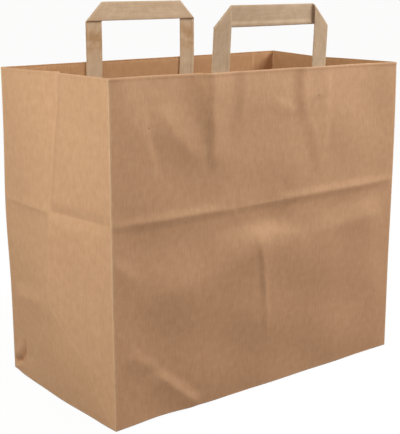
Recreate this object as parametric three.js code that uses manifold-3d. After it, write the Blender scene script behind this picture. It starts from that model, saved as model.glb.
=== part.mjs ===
// Paper carrier bag with flat folded handles, standing open on its block bottom.
// Millimetres, +Z up. The origin is on the floor under the middle of the bag. +X runs along the
// front panel to its right end, and +Y runs from the front panel to the back panel.
import * as THREE from "three";
import { mergeVertices } from "three/addons/utils/BufferGeometryUtils.js";
import Module from "manifold-3d";

const wasm = await Module();
wasm.setup();
const { clamp, lerp } = THREE.MathUtils;

// Bag: one sheet of kraft paper, folded and glued
const bagWidth = 320; // front and back panels, fold to fold
const bagDepth = 175; // gussets, fold to fold
const bagHeight = 282; // floor to rim
const paper = 0.4; // one layer, drawn thicker than the real 0.13
const lapWidth = 22; // glued lap where the sheet's two side edges meet, on the back panel
const lapInset = 5; // corner fold to the near side of the lap
const flapOverlap = 26; // the two bottom flaps, along the middle of the bottom

// How the paper stands when the bag is open
const footBow = 3; // gussets, outwards at the middle of their lower edge
const apexBulge = 10; // gussets, outwards at the top of their bottom triangles
const leftRimTuck = 9; // left gusset, inwards along its middle fold at the rim
const rightRimTuck = 16; // right gusset, the same
const tuckCurve = 1.3; // how late the middle folds turn inwards on their way up: 1 is straight
const panelBelly = 4.5; // front and back panels, outwards at half height
const frontRimWave = 1.5; // front rim, outwards in its left half and inwards in its right half
const backRimBow = 2; // back rim, inwards at its middle
const creaseHeight = 167; // packing fold round the bag, above the floor
const creaseTilt = 4; // that fold, from the back panel up to the front panel
const creaseRidge = 1.3; // that fold, out of the front and back panels and into the gussets
const creaseReach = 8; // how far above and below the fold its ridge runs out
const creaseFade = 25; // how far from a corner fold the ridge has its full height

// Handles: flat tape of folded paper, turned over at 45 degrees at both top corners
const tapeWidth = 17.5;
const tapeThickness = 0.8;
const tapeFoldGap = 1.2; // between the two layers of tape at a turned corner
const handleWidth = 127; // over the legs
const handleRise = 53; // rim to the top edge of the grip
const frontHandleShift = 3.3; // to the right of the panel's middle, seen from outside
const backHandleShift = 10; // the same, on the back panel

// Patches: sheets glued inside over the feet of the handles
const patchDrop = 18; // rim to the top edge of the patch
const patchHeight = 50;
const patchMargin = 12; // beyond the outer edge of each leg
const patchRamp = 2.5; // run of the slope from the panel up onto a leg
const footMargin = 6; // foot of a leg to the lower edge of the patch
const glueGap = 0.3; // between pieces that are glued together

// Mesh fineness
const cornerSteps = 6; // columns across half a gusset, and rows up its bottom triangle
const panelSteps = 6; // columns across the middle of a wide panel
const wallSteps = 4; // rows between the bottom triangles, the packing fold and the rim
const bendSteps = 6; // facets round a turned corner of a handle
const tapeSteps = 6; // sections along each straight run of a handle

// Sizes that follow
const halfWidth = bagWidth / 2;
const halfDepth = bagDepth / 2;
const apexHeight = halfDepth; // the bottom folds run at 45 degrees
const handleTop = bagHeight + handleRise;
const footHeight = bagHeight - patchDrop - patchHeight + footMargin;
const fuse = paper / 4; // how far the bottom layers run into each other and into the walls, as one solid

// Share of the way from one value to another, held between 0 and 1
function share(value, from, to) {
  return clamp((value - from) / (to - from), 0, 1);
}

// Evenly spaced values from one to another, without the last
function spaced(from, to, steps) {
  return Array.from({ length: steps }, (_, i) => lerp(from, to, i / steps));
}

// Ridge of the packing fold at height z, dying out towards a corner fold at distance a
function crease(a, z) {
  const rise = Math.max(0, 1 - Math.abs(z - creaseHeight) / creaseReach);
  return creaseRidge * rise * share(a, 0, creaseFade);
}

// Middle fold of a gusset, outwards from the plane through its corner folds
function middleFold(rimTuck, z) {
  const turn = share(z, apexHeight, bagHeight) ** tuckCurve;
  return lerp(apexBulge * share(z, 0, apexHeight), -rimTuck, turn);
}

// A gusset keeps the width of its paper, so its corner folds draw together as its middle fold moves
function cornerPull(rimTuck, z) {
  const fold = middleFold(rimTuck, Math.max(z, apexHeight));
  return (halfDepth - Math.sqrt(halfDepth ** 2 - fold ** 2)) * share(z, 0, apexHeight);
}

// A gusset is three facets: a bottom triangle, and one on each side of its middle fold
function gusset(corner, direction, normal, rimTuck) {
  const out = (s, z) => {
    const a = Math.min(s, bagDepth - s);
    const bow = footBow * Math.sin((Math.PI * s) / bagDepth) * (1 - share(z, 0, apexHeight));
    const below = (apexBulge * Math.min(a, z)) / apexHeight + bow;
    const above = (middleFold(rimTuck, z) * a) / halfDepth;
    return (z < apexHeight ? below : above) - crease(a, z);
  };
  const along = (s, z) => halfDepth + (s - halfDepth) * (1 - cornerPull(rimTuck, z) / halfDepth);
  return { corner, direction, normal, length: bagDepth, out, along, isGusset: true };
}

// A wide panel hangs between the corner folds of two gussets, with a belly and a bowed rim
function widePanel(corner, direction, normal, startTuck, endTuck, rimShape) {
  const out = (s, z) => {
    const pull = lerp(cornerPull(startTuck, z), cornerPull(endTuck, z), s / bagWidth);
    const belly = panelBelly * Math.sin((Math.PI * s) / bagWidth) * Math.sin((Math.PI * z) / bagHeight);
    const rim = rimShape(s / bagWidth) * share(z, apexHeight, bagHeight) ** 2;
    return belly + rim + crease(Math.min(s, bagWidth - s), z) - pull;
  };
  return { corner, direction, normal, length: bagWidth, out, along: (s) => s, isGusset: false };
}

// The four walls, anticlockwise from above, each from its own corner fold to the next
const at = (x, y) => new THREE.Vector2(x, y);
const frontRim = (u) => frontRimWave * Math.sin(2 * Math.PI * u);
const backRim = (u) => -backRimBow * Math.sin(Math.PI * u);
const front = widePanel(at(-halfWidth, -halfDepth), at(1, 0), at(0, -1), leftRimTuck, rightRimTuck, frontRim);
const right = gusset(at(halfWidth, -halfDepth), at(0, 1), at(1, 0), rightRimTuck);
const back = widePanel(at(halfWidth, halfDepth), at(-1, 0), at(0, 1), rightRimTuck, leftRimTuck, backRim);
const left = gusset(at(-halfWidth, halfDepth), at(0, -1), at(-1, 0), leftRimTuck);
const walls = [front, right, back, left];

// Columns of a wall's mesh, by distance from its first corner fold. They fall on its 45 degree folds.
function columnsOf(wall) {
  const far = wall.length - halfDepth;
  const columns = [
    ...spaced(0, halfDepth, cornerSteps),
    ...(wall.isGusset ? [] : spaced(halfDepth, far, panelSteps)),
    ...spaced(far, wall.length, cornerSteps),
  ];
  const lap = [lapInset, lapInset + lapWidth - paper, lapInset + lapWidth];
  return (wall === back ? [...columns, ...lap] : columns).sort((a, b) => a - b);
}

const columns = walls.flatMap((wall) => columnsOf(wall).map((s) => ({ wall, s })));

// The lap adds a second layer of paper outside the wall, raised from the corner fold to a cut edge
function lapLayer(wall, s) {
  return wall === back && s < lapInset + lapWidth ? paper * share(s, 0, lapInset) : 0;
}

// Point of a wall's outer face in plan, plus a further step outwards
function wallPoint({ wall, s }, z, step = 0) {
  const point = wall.corner.clone().addScaledVector(wall.direction, wall.along(s, z));
  return point.addScaledVector(wall.normal, wall.out(s, z) + step);
}

// The packing fold isn't level: rows of the mesh between the bottom triangles and the rim tilt with it
function tilted(y, z) {
  const near = Math.min(share(z, apexHeight, creaseHeight), share(z, bagHeight, creaseHeight));
  return z - (near * creaseTilt * y) / bagDepth;
}

// A closed outline in plan, moved in by a distance
function inset(outline, distance) {
  const normals = outline.map((p, i) => {
    const run = outline[(i + 1) % outline.length].clone().sub(p).normalize();
    return at(-run.y, run.x);
  });
  return outline.map((p, i) => {
    const before = normals.at(i - 1);
    const mitre = before.clone().add(normals[i]);
    return p.clone().addScaledVector(mitre, distance / (1 + before.dot(normals[i])));
  });
}

// A geometry from points in order and triangles that index them
function indexed(points, triangles) {
  const made = new THREE.BufferGeometry().setFromPoints(points);
  return made.setIndex(triangles);
}

// The tube of four walls: an outer and an inner skin, joined along the rim and the lower edge
function tube() {
  const rows = [
    ...spaced(0, apexHeight, cornerSteps),
    ...spaced(apexHeight, creaseHeight - creaseReach, wallSteps),
    creaseHeight - creaseReach,
    creaseHeight,
    ...spaced(creaseHeight + creaseReach, bagHeight, wallSteps),
    bagHeight,
  ];
  const points = [];
  rows.forEach((z) => {
    const outer = columns.map((c) => wallPoint(c, z, lapLayer(c.wall, c.s)));
    const inner = inset(columns.map((c) => wallPoint(c, z)), paper);
    points.push(...[...outer, ...inner].map((p) => new THREE.Vector3(p.x, p.y, tilted(p.y, z))));
  });
  const count = columns.length;
  const vertex = (row, column, skin) => (2 * row + skin) * count + (column % count);
  const triangles = [];
  const quad = (a, b, c, d, rising) => triangles.push(...(rising ? [a, b, c, a, c, d] : [a, b, d, b, c, d]));
  columns.forEach(({ wall, s }, i) => {
    const rising = s < wall.length / 2 === wall.isGusset;
    for (let row = 0; row + 1 < rows.length; row++) {
      const cell = (skin) => [
        vertex(row, i, skin),
        vertex(row, i + 1, skin),
        vertex(row + 1, i + 1, skin),
        vertex(row + 1, i, skin),
      ];
      const [a, b, c, d] = cell(1);
      quad(...cell(0), rising);
      quad(b, a, d, c, !rising);
    }
    const top = rows.length - 1;
    quad(vertex(top, i, 0), vertex(top, i + 1, 0), vertex(top, i + 1, 1), vertex(top, i, 1), true);
    quad(vertex(0, i + 1, 0), vertex(0, i, 0), vertex(0, i, 1), vertex(0, i + 1, 1), true);
  });
  return indexed(points, triangles);
}

// A flat layer of the bottom, from an outline in plan and two heights
function layer(outline, low, high) {
  const shape = new THREE.Shape(outline);
  const made = new THREE.ExtrudeGeometry(shape, { depth: high - low, bevelEnabled: false });
  return made.translate(0, 0, low);
}

// Block bottom: an inner layer, the folded ends of the gussets on it and two glued flaps under it
function bottomLayers() {
  const x = halfWidth - fuse;
  const y = halfDepth - fuse;
  const edge = flapOverlap / 2; // the free edge of the back flap lies this far past the middle
  const flap = (side, reach) => [
    at(-side * x, side * y),
    at(-side * (x - reach), side * (y - reach)),
    at(side * (x - reach), side * (y - reach)),
    at(side * x, side * y),
  ];
  const floor = inset(columns.map((c) => wallPoint(c, 0)), fuse);
  const besideRight = (_, i) => columns[i].wall === right || columns.at(i - 1).wall === right;
  const rightEnd = [...floor.filter(besideRight), at(x - y, 0)];
  const leftEnd = rightEnd.map((p) => at(-p.x, -p.y));
  const frontFlap = layer(flap(-1, y - edge), 0, paper + fuse);
  const position = frontFlap.getAttribute("position");
  for (let i = 0; i < position.count; i++) {
    // the front flap climbs from its fold to where it slips under the back flap
    if (position.getZ(i) === 0) position.setZ(i, (paper - fuse) * share(position.getY(i), -y, -edge));
  }
  return [
    layer(floor, paper, 2 * paper),
    layer(flap(1, y + edge), 0, paper + fuse),
    frontFlap,
    layer(rightEnd, 2 * paper - fuse, 3 * paper),
    layer(leftEnd, 2 * paper - fuse, 3 * paper),
  ];
}

// A closed geometry as a solid that can be joined
function solid(geometry) {
  geometry.deleteAttribute("normal");
  geometry.deleteAttribute("uv");
  const merged = mergeVertices(geometry);
  const vertProperties = merged.getAttribute("position").array;
  const triVerts = new Uint32Array(merged.index.array);
  return new wasm.Manifold(new wasm.Mesh({ numProp: 3, vertProperties, triVerts }));
}

function bagBody() {
  const joined = bottomLayers().reduce((body, part) => body.add(solid(part)), solid(tube()));
  const { vertProperties, triVerts } = joined.getMesh();
  const made = new THREE.BufferGeometry();
  made.setAttribute("position", new THREE.BufferAttribute(vertProperties, 3));
  return made.setIndex(new THREE.BufferAttribute(triVerts, 1));
}

// Handles and patches are drawn on a flat panel, with x along it, y into the bag and z up.
// This moves their points to the inner face of the panel as it really stands.
function follow(geometry, panel, shift) {
  const position = geometry.getAttribute("position");
  for (let i = 0; i < position.count; i++) {
    const x = position.getX(i) + shift;
    const out = panel.out(halfWidth + x, Math.min(position.getZ(i), bagHeight));
    position.setXYZ(i, x, position.getY(i) - out, position.getZ(i));
  }
  return geometry;
}

// Left half of a handle as straight lines across the tape, each with its two ends and its normal.
// The first end is on the outer edge of the leg, which becomes the lower edge of the grip.
function halfHandle() {
  const legOut = -handleWidth / 2;
  const legIn = legOut + tapeWidth;
  const legY = glueGap + tapeThickness / 2;
  const radius = (tapeThickness + tapeFoldGap) / 2; // middle of the tape round the turned corner
  // the outer edge of the leg starts to turn here, and ends the turn as the lower edge of the grip
  const bendStart = handleTop - tapeWidth - (Math.PI * radius) / Math.SQRT2;
  const outwards = new THREE.Vector3(0, -1, 0);
  const climb = new THREE.Vector3(1, 0, 1).normalize(); // along the 45 degree fold
  const away = new THREE.Vector3(-1, 0, 1).normalize(); // across it, out of the corner
  const leg = [...spaced(footHeight, bagHeight, tapeSteps), bagHeight].map((z) => ({
    ends: [new THREE.Vector3(legOut, legY, z), new THREE.Vector3(legIn, legY, z)],
    normal: outwards,
  }));
  const bend = [...spaced(0, Math.PI, bendSteps), Math.PI].map((angle) => {
    const normal = away.clone().multiplyScalar(Math.sin(angle)).addScaledVector(outwards, Math.cos(angle));
    const axis = new THREE.Vector3(legOut, legY + radius, bendStart).addScaledVector(climb, radius * angle);
    const end = axis.addScaledVector(normal, radius);
    return { ends: [end, end.clone().addScaledVector(climb, tapeWidth * Math.SQRT2)], normal };
  });
  return [...leg, ...bend];
}

// Lines across the grip between the two turned corners
function gripLines(corner) {
  const [low, high] = corner.ends;
  const reach = -high.x;
  return spaced(-reach, reach, tapeSteps)
    .slice(1)
    .map((x) => ({
      ends: [new THREE.Vector3(x, low.y, low.z), new THREE.Vector3(x, high.y, high.z)],
      normal: corner.normal,
    }));
}

// A closed strip of tape through a row of lines, with half its thickness on each side of them
function tapeThrough(lines) {
  const half = tapeThickness / 2;
  const points = lines.flatMap(({ ends: [a, b], normal }) => [
    a.clone().addScaledVector(normal, half),
    b.clone().addScaledVector(normal, half),
    b.clone().addScaledVector(normal, -half),
    a.clone().addScaledVector(normal, -half),
  ]);
  const triangles = [];
  for (let k = 0; k + 1 < lines.length; k++) {
    for (let i = 0; i < 4; i++) {
      const a = 4 * k + i;
      const b = 4 * k + ((i + 1) % 4);
      triangles.push(a, b, b + 4, a, b + 4, a + 4);
    }
  }
  const last = points.length - 4;
  triangles.push(0, 2, 1, 0, 3, 2, last, last + 1, last + 2, last, last + 2, last + 3);
  return indexed(points, triangles);
}

function handle(panel, shift) {
  const leftHalf = halfHandle();
  const mirror = (v) => new THREE.Vector3(-v.x, v.y, v.z);
  const rightHalf = leftHalf.map(({ ends, normal }) => ({ ends: ends.map(mirror), normal: mirror(normal) }));
  const lines = [...leftHalf, ...gripLines(leftHalf.at(-1)), ...rightHalf.reverse()];
  return follow(tapeThrough(lines), panel, shift);
}

// A patch lies on the panel, and climbs over each leg of the handle
function patch(panel, shift) {
  const legOut = handleWidth / 2;
  const legIn = legOut - tapeWidth;
  const onLeg = 2 * glueGap + tapeThickness;
  const rightProfile = [
    ...spaced(0, legIn - glueGap - patchRamp, tapeSteps).map((x) => at(x, glueGap)),
    at(legIn - glueGap - patchRamp, glueGap),
    at(legIn - glueGap, onLeg),
    at(legOut + glueGap, onLeg),
    at(legOut + glueGap + patchRamp, glueGap),
    at(legOut + patchMargin, glueGap),
  ];
  const leftProfile = rightProfile.slice(1).map((p) => at(-p.x, p.y)).reverse();
  const under = [...leftProfile, ...rightProfile];
  const over = under.map((p) => at(p.x, p.y + paper)).reverse();
  const shape = new THREE.Shape([...under, ...over]);
  const extrusion = { depth: patchHeight, steps: tapeSteps, bevelEnabled: false };
  const made = new THREE.ExtrudeGeometry(shape, extrusion);
  return follow(made.translate(0, 0, bagHeight - patchDrop - patchHeight), panel, shift);
}

// Unbleached kraft paper, with a paler, greyer stock for the handle tape
const kraft = new THREE.MeshStandardMaterial({ color: 0xb98f69, roughness: 0.85, metalness: 0 });
const tapeKraft = new THREE.MeshStandardMaterial({ color: 0xbda080, roughness: 0.85, metalness: 0 });

function named(name, geometry, material) {
  const flat = geometry.index ? geometry.toNonIndexed() : geometry;
  flat.computeVertexNormals();
  const mesh = new THREE.Mesh(flat, material);
  mesh.name = name;
  return mesh;
}

// Handle and patch of one wide panel, in a group that stands on that panel's inner face
function handleSet(side, panel, shift, turn) {
  const set = new THREE.Group();
  set.add(named(`${side}_handle`, handle(panel, shift), tapeKraft));
  set.add(named(`${side}_handle_patch`, patch(panel, shift), kraft));
  set.rotation.z = turn;
  set.position.y = (paper - halfDepth) * Math.cos(turn);
  return set;
}

const bag = new THREE.Group();
bag.add(named("bag_body", bagBody(), kraft));
bag.add(handleSet("front", front, frontHandleShift, 0));
bag.add(handleSet("back", back, backHandleShift, Math.PI));

export default bag;
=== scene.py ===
"""Kraft paper carrier bag: the folded sheet, its tape handles and their patches, on a plain stage.

Shapes are worked out in millimetres as whole arrays and put into meshes in metres. A wall of the bag is
a grid of distances s along the paper and heights z, moved out of the flat by folds, kinks and swells.
"""
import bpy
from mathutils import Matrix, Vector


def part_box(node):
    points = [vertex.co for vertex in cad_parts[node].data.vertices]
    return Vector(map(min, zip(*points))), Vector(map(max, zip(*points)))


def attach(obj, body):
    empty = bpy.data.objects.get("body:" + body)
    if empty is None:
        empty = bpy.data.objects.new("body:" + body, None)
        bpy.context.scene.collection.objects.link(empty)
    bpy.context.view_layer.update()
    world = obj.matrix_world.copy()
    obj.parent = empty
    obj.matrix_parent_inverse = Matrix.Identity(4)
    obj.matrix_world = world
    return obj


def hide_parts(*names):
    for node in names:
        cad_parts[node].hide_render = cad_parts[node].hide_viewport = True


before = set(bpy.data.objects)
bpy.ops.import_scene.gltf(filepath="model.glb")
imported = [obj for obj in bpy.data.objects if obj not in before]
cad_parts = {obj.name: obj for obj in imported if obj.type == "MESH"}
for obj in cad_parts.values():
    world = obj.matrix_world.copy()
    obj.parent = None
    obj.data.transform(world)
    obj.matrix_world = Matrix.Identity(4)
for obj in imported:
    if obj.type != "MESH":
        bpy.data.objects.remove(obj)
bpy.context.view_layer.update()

from types import SimpleNamespace
from typing import NamedTuple

import bmesh
import bpy
import numpy as np
from mathutils import Vector

bl_info = {
    "name": "Kraft Carrier Bag",
    "version": (1, 0, 0),
    "blender": (4, 5, 0),
    "location": "View3D > Sidebar > Carrier Bag",
    "description": "Folded kraft sheet with tape handles and patches, dressed round the packed solids",
    "category": "Add Mesh",
}

MM = 0.001
TINY = 0.01  # millimetres that count as none
SHEET_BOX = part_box("bag_body")
HANDLE_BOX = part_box("front_handle")
PATCH_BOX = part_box("front_handle_patch")

# Mesh fineness
CORNER_STEPS = 34  # columns across half a gusset, and rows up its bottom triangle
MIDDLE_STEPS = 56  # columns across the middle of the front panel
POCKET_STEPS = 12  # extra columns beside the pinched pocket of the left gusset
BACK_STEPS = 17  # columns at each end of the back panel, where little is seen
CALM_ROWS = 30  # rows from the bottom triangles to the packing fold
UPPER_ROWS = 43  # rows from the packing fold to the rim
FOLD_EDGES = (0.5, 1.4)  # extra lines beside a fold, which keep it crisp
RIM_EDGES = (0.5, 1.1, 1.8, 2.6, 3.6)  # extra rows below the rim
FLOOR_ROWS = (74, 60, 45, 30, 18, 9, 4)  # rows of the inner bottom, from the lower edge of a wall
FLAP_STEPS = (14, 30)  # points across and along a bottom flap
END_ROWS = 7  # rows of a folded gusset end
LEG_ROWS = (24, 12)  # lines across a leg of a handle, below and above the rim
TURN_ROWS = 19  # lines across the tape round a turned corner
GRIP_ROWS = 40  # lines across the grip
TAPE_POINTS = (9, 8)  # points across the front and the back of the tape
PATCH_STEPS = (121, 21)  # points along and up a patch


class Wall(NamedTuple):
    """A wall of the open bag, anticlockwise from above.

    corner is its first corner fold in half widths and half depths, along and outward are unit directions,
    tucks name the gusset folds at its two ends, and fold is how far the packing fold lies above or below its
    mean height at those ends.
    """

    name: str
    corner: tuple
    along: tuple
    outward: tuple
    tucks: tuple
    fold: tuple


WALLS = (
    Wall("front", (-1, -1), (1, 0), (0, -1), ("left_tuck", "right_tuck"), (2, 3.4)),
    Wall("right", (1, -1), (0, 1), (1, 0), ("right_tuck", "right_tuck"), (3.4, -2)),
    Wall("back", (1, 1), (-1, 0), (0, 1), ("right_tuck", "left_tuck"), (-2, -2)),
    Wall("left", (-1, 1), (0, -1), (-1, 0), ("left_tuck", "left_tuck"), (-2, 2)),
)
FRONT, RIGHT, BACK, LEFT = WALLS


class Kink(NamedTuple):
    """A kink in a wall along points (s, z) in millimetres, standing rise proud, or sunk if rise is negative.

    It runs out over the distances left and right of the line, as seen from its start, grows and dies over
    the shares of its length in fade, and has a crest of the given radius.
    """

    path: tuple
    rise: float
    left: float
    right: float
    fade: tuple = (0.3, 0.3)
    radius: float = 1.2


class Swell(NamedTuple):
    """A soft bulge or hollow round a centre (s, z), with its reach along and up the wall."""

    centre: tuple
    reach: tuple
    rise: float


KINKS = {
    "front": (
        # where the left leg of the handle presses on the panel
        Kink(((92.5, 310), (93, 257), (95.5, 218)), 5.2, 40, 12, (0.15, 0.55), 2.2),
        Kink(((93.5, 258), (95.5, 235), (97, 200)), 1.5, 18, 5),
        Kink(((43, 262), (58, 237), (73, 221), (88, 211)), 1.3, 20, 17),
        Kink(((35, 268), (38, 234), (49, 196)), -0.7, 12, 5),
        Kink(((133, 310), (128.5, 258), (123, 215)), 2.1, 36, 12, (0.2, 0.5)),
        # where the right leg presses on it
        Kink(((203, 310), (197.5, 252), (207, 229)), 3.1, 42, 12, (0.2, 0.4)),
        Kink(((203, 245), (213, 216), (220, 182)), 0.9, 18, 11),
        Kink(((160, 257), (197, 242)), 0.6, 5, 12),
        Kink(((231, 310), (227, 240), (221, 186)), 0.7, 6, 22),
        # rim leaning in at both ends
        Kink(((4, 300), (46, 300), (90, 300)), -4.5, 20, 62, (0.35, 0.3)),
        Kink(((215, 300), (270, 300), (316, 300)), -3.0, 20, 62, (0.4, 0.3)),
        # pillow below the packing fold, and the upright fold that runs down from it
        Kink(
            ((10, 104), (83, 110), (116, 117), (148, 134), (182, 131), (225, 115)),
            2.2, 34, 75, (0.3, 0.4), 5,
        ),
        Kink(((114, 137), (138, 141), (162, 139.5), (186, 135), (216, 127)), 0.9, 10, 50, (0.3, 0.4), 3),
        Kink(((10, 152), (60, 150), (110, 150)), -0.5, 16, 30, (0.3, 0.3), 3),
        Kink(((90, 150), (122, 151), (150, 153), (196, 151)), -1.6, 14, 24, (0.3, 0.3), 3),
        Kink(((205, 155), (250, 156), (310, 157)), -0.6, 13, 15, (0.3, 0.2), 3),
        Kink(((200, 129), (235, 134), (278, 138), (312, 140)), 1.5, 16, 75, (0.3, 0.25), 3),
        Kink(((141.5, 146), (144.5, 137), (151.5, 114), (155, 82)), 0.9, 18, 4, (0.2, 0.3), 0.6),
        Kink(((152.5, 112), (156, 79), (158.5, 44)), 0.7, 4, 5, (0.3, 0.3), 0.6),
        # nicks in the packing fold
        Kink(((120, 185), (121.6, 165)), -0.5, 4, 3, (0.5, 0.15), 0.4),
        Kink(((173.4, 180), (172.3, 164)), -0.4, 4, 3, (0.4, 0.2), 0.4),
        # 45 degree folds of the block bottom
        Kink(((10, 65), (28, 52), (43, 41.5)), 0.8, 8, 15),
        Kink(((33, 44), (51, 29), (68, 14), (85, 0)), 1.7, 9, 32, (0.25, 0.15)),
        Kink(((290, 60), (232, 1)), 0.4, 6, 6),
        # dents beside the left corner fold
        Kink(((-4, 143), (10, 132), (27, 118)), 0.7, 9, 22),
    ),
    "right": (),
    "back": (
        Kink(((30, 60), (88, 1)), 0.5, 6, 6),
        Kink(((290, 60), (232, 1)), 0.5, 6, 6),
    ),
    "left": (
        # middle fold, deep at the rim and fine below
        Kink(((87.5, 310), (87.5, 185)), -6.0, 13, 26, (0.1, 0.8), 0.4),
        Kink(((87.5, 270), (87.5, 160)), -1.6, 7, 22, (0.3, 0.3), 0.4),
        # level fold at the point of the V
        Kink(((4, 74), (30, 79), (60, 84), (86, 87)), 2.4, 12, 34, (0.35, 0.35)),
        # pinched pocket below the back end of the V, with its lip
        Kink(((2, 4.5), (9, 7), (18, 13.5), (25, 23.5), (30, 37)), -8.0, 9, 2.5, (0.05, 0.5), 0.3),
        Kink(((2, 5.5), (8, 8.5), (15, 15), (22, 25), (27, 38)), 3.0, 14, 5, (0.03, 0.6), 1),
    ),
}

SWELLS = {
    "front": (
        Swell((148, 174), (44, 28), -1.8),
    ),
    "right": (),
    "back": (),
    "left": (
        Swell((46, 220), (24, 55), 2.0),
    ),
}

# Long waves of the standing paper: length in millimetres, direction in radians, phase, height
WAVES = ((74, 0.3, 0.4, 0.30), (61, 1.2, 2.1, 0.25), (97, 2.2, 4.0, 0.35))
WAVE_PHASE = 1.9  # phase from one wall to the next


class Crest(NamedTuple):
    """Section of the packing fold: its reach above and below, its radius, and the power of its flanks."""

    above: float
    below: float
    radius: float
    power: float


WIDE_CREST = Crest(4.6, 4.8, 1.8, 1.1)
BACK_CREST = Crest(8, 5, 1.0, 1.6)  # in the back half of a gusset
FRONT_CREST = Crest(10, 9, 1.0, 1.6)  # in the front half of a gusset
CREST_SHARES = (0.5, -1)  # of the fold's groove: a ridge in the back half, a full groove in the front half
CREST_CHANGE = (84, 91)  # where the back half of a gusset passes into its front half
FLAT_REACH = 24  # of the upper flank above the pillow on the front panel
FLAT_START = (98, 112)  # along the panel, where that flank grows flat
FLAT_END = (178, 162)  # and from the other side
CREST_END = 6  # run over which the fold dies out at a corner fold
WEAK_CREST = 0.65  # its strength near a corner fold
WEAK_RUN = (12, 45)  # distance from a corner fold over which it grows from that

# Left gusset: how its slanted folds have set askew
DRIFT_LIMIT = 24  # of the back one, at the floor
DRIFT_LOSS = 0.2  # by which that limit falls for each millimetre up
DRIFT_TOP = 70  # height from which it goes back to none at the meeting point
DRIFT_FRONT = 12.5  # of the front one
DRIFT_FRONT_BELL = (48, 20)  # height and spread

# Other chance forms of the walls
BLUNT = 7  # radius of the gussets' slanted folds
BLUNT_RUN = 25  # over which the slanted folds grow blunt from their ends
CALM_RUN = 25  # from a corner fold, over which waves and swells grow
CREASE_RUN = 2  # from a corner fold, over which kinks grow
RIM_BEAD = 0.3  # height of the cut edge's bead
RIM_BEAD_BELL = (1.4, 1.0)  # its distance below the rim and its spread
LIFT_BELL = (-115, 38)  # place along x and spread of the lift of the lower front edge
LIFT_TOP = 60  # height at which that lift ends
CORNER_BOW = 2  # of the back left corner fold, outwards
CORNER_BOW_BELL = (155, 55)  # height and spread
CORNER_BOW_REACH = (70, 60)  # along the back panel and along the gusset

# Scuffing of the folds: how strong it is, and its spread on either side
WEAR_CORNER = 1.0
WEAR_FOOT = 0.7
WEAR_GUSSET_SLANT = 0.28
WEAR_PANEL_SLANT = 0.15
WEAR_PACKING = 0.1
WEAR_RIM = 0.12
WEAR_MIDDLE = 0.12
WEAR_SPREAD = 1.1

# Bottom, in layers of paper or millimetres
INNER_BOTTOM = 1.1  # layers below its face
GUSSET_END = 3  # layers below the face of a folded gusset end
END_INSET = 1.2  # gusset end, from the outside of the wall
FLAP_INSET = 0.2  # flap, from the lower edge of its panel

# Handles
TAPE_EDGE = 0.25  # radius of the tape's edges
SHOULDER = 0.7  # share of the half thickness at which an edge starts to round
BOW_RUN = 20  # below the rim, over which the bow of a grip starts
STAIN_AND_SHADE_BELL = (20, 16)  # height above the rim and spread of the glue stains and painted shade on the legs

# Where pieces that aren't seen beside the walls are cut from the flat paper
FLAP_PAPER = (400, 600)
PATCH_PAPER = 1300


class Lamp(NamedTuple):
    """A square soft lamp: its place and size in metres, and the tint of its light."""

    place: tuple
    size: float
    tint: tuple


# Stage. Each lamp has the name of the setting for its power
LAMPS = {
    "key": Lamp((-0.85, -0.05, 0.54), 0.24, (0.89, 1.0, 1.01)),
    "fill": Lamp((0.92, -0.56, 1.06), 0.75, (0.91, 0.99, 1.03)),
    "front": Lamp((-0.80, -0.95, 0.50), 0.60, (0.91, 0.99, 1.03)),
    "back": Lamp((0.20, 1.10, 0.70), 0.60, (0.92, 0.98, 1.0)),
}
LAMP_AIM = (0, 0, 0.16)  # in metres
WARM_SKY = (1, 0.72, 0.50, 1)  # tint of the even light on the bag
WHITE = (1, 1, 1, 1)
FLOOR_REACH = 40  # in metres, from the middle of the bag
FLOOR_DROP = 0.1  # below the bag, so that the two don't touch
FLOOR_GLOW = 0.96  # how white the floor is where the camera sees it
SENSOR = 36  # width of the camera's sensor


def linear(code):
    """An sRGB hex colour as linear red, green, blue and alpha."""
    value = np.array([int(code[i : i + 2], 16) for i in (1, 3, 5)]) / 255
    return (*np.where(value <= 0.04045, value / 12.92, ((value + 0.055) / 1.055) ** 2.4), 1.0)


def length(name, description, default):
    """A length property in metres, from millimetres."""
    return bpy.props.FloatProperty(
        name=name, description=description, default=default * MM,
        unit="LENGTH", subtype="DISTANCE", precision=4,
    )


def power(name, description, default):
    """The power of a lamp in watts."""
    return bpy.props.FloatProperty(name=name, description=description, default=default, unit="POWER", min=0)


def colour(name, description, code):
    """A colour property from an sRGB hex value."""
    return bpy.props.FloatVectorProperty(
        name=name, description=description, default=linear(code), size=4, subtype="COLOR", min=0, max=1
    )


class BagSizes(bpy.types.PropertyGroup):
    """Sizes of the folded sheet."""

    width: length("Width", "Front and back panels, fold to fold", 320)
    depth: length("Depth", "Gussets, fold to fold", 175)
    height: length("Height", "Floor to rim", SHEET_BOX[1].z / MM)
    paper: length("Paper", "One layer of paper", 0.4)
    foot_bow: length("Foot bow", "Gussets, outwards at the middle of their lower edge", 3)
    apex_bulge: length("Bulge", "Gussets, outwards at the top of their bottom triangles", 10)
    left_tuck: length("Left tuck", "Left gusset, inwards at the rim", 3.2)
    right_tuck: length("Right tuck", "Right gusset, inwards at the rim", 16)
    belly: length("Belly", "Front and back panels, outwards at half height", 4.5)
    front_wave: length("Front rim wave", "Front rim, outwards on the left and inwards on the right", 1.5)
    back_bow: length("Back rim bow", "Back rim, inwards at its middle", 2)
    fold_height: length("Packing fold", "Mean height of the fold round the bag", 167)
    fold_ridge: length("Fold ridge", "How far that fold stands out of the wide panels", 1.0)
    fold_groove: length("Fold groove", "How far it sinks into the front half of the gussets", 2.0)
    lap_inset: length("Lap inset", "Corner fold to the glued lap on the back panel", 5)
    lap_width: length("Lap width", "Width of the glued lap", 22)
    flap_overlap: length("Flap overlap", "The two bottom flaps, along the middle of the bottom", 26)
    rim_twist: length("Rim twist", "How far opposite corners of the rim stand up", 1.2)
    foot_lift: length("Foot lift", "Lower front edge, off the floor near its left end", 2)


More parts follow.
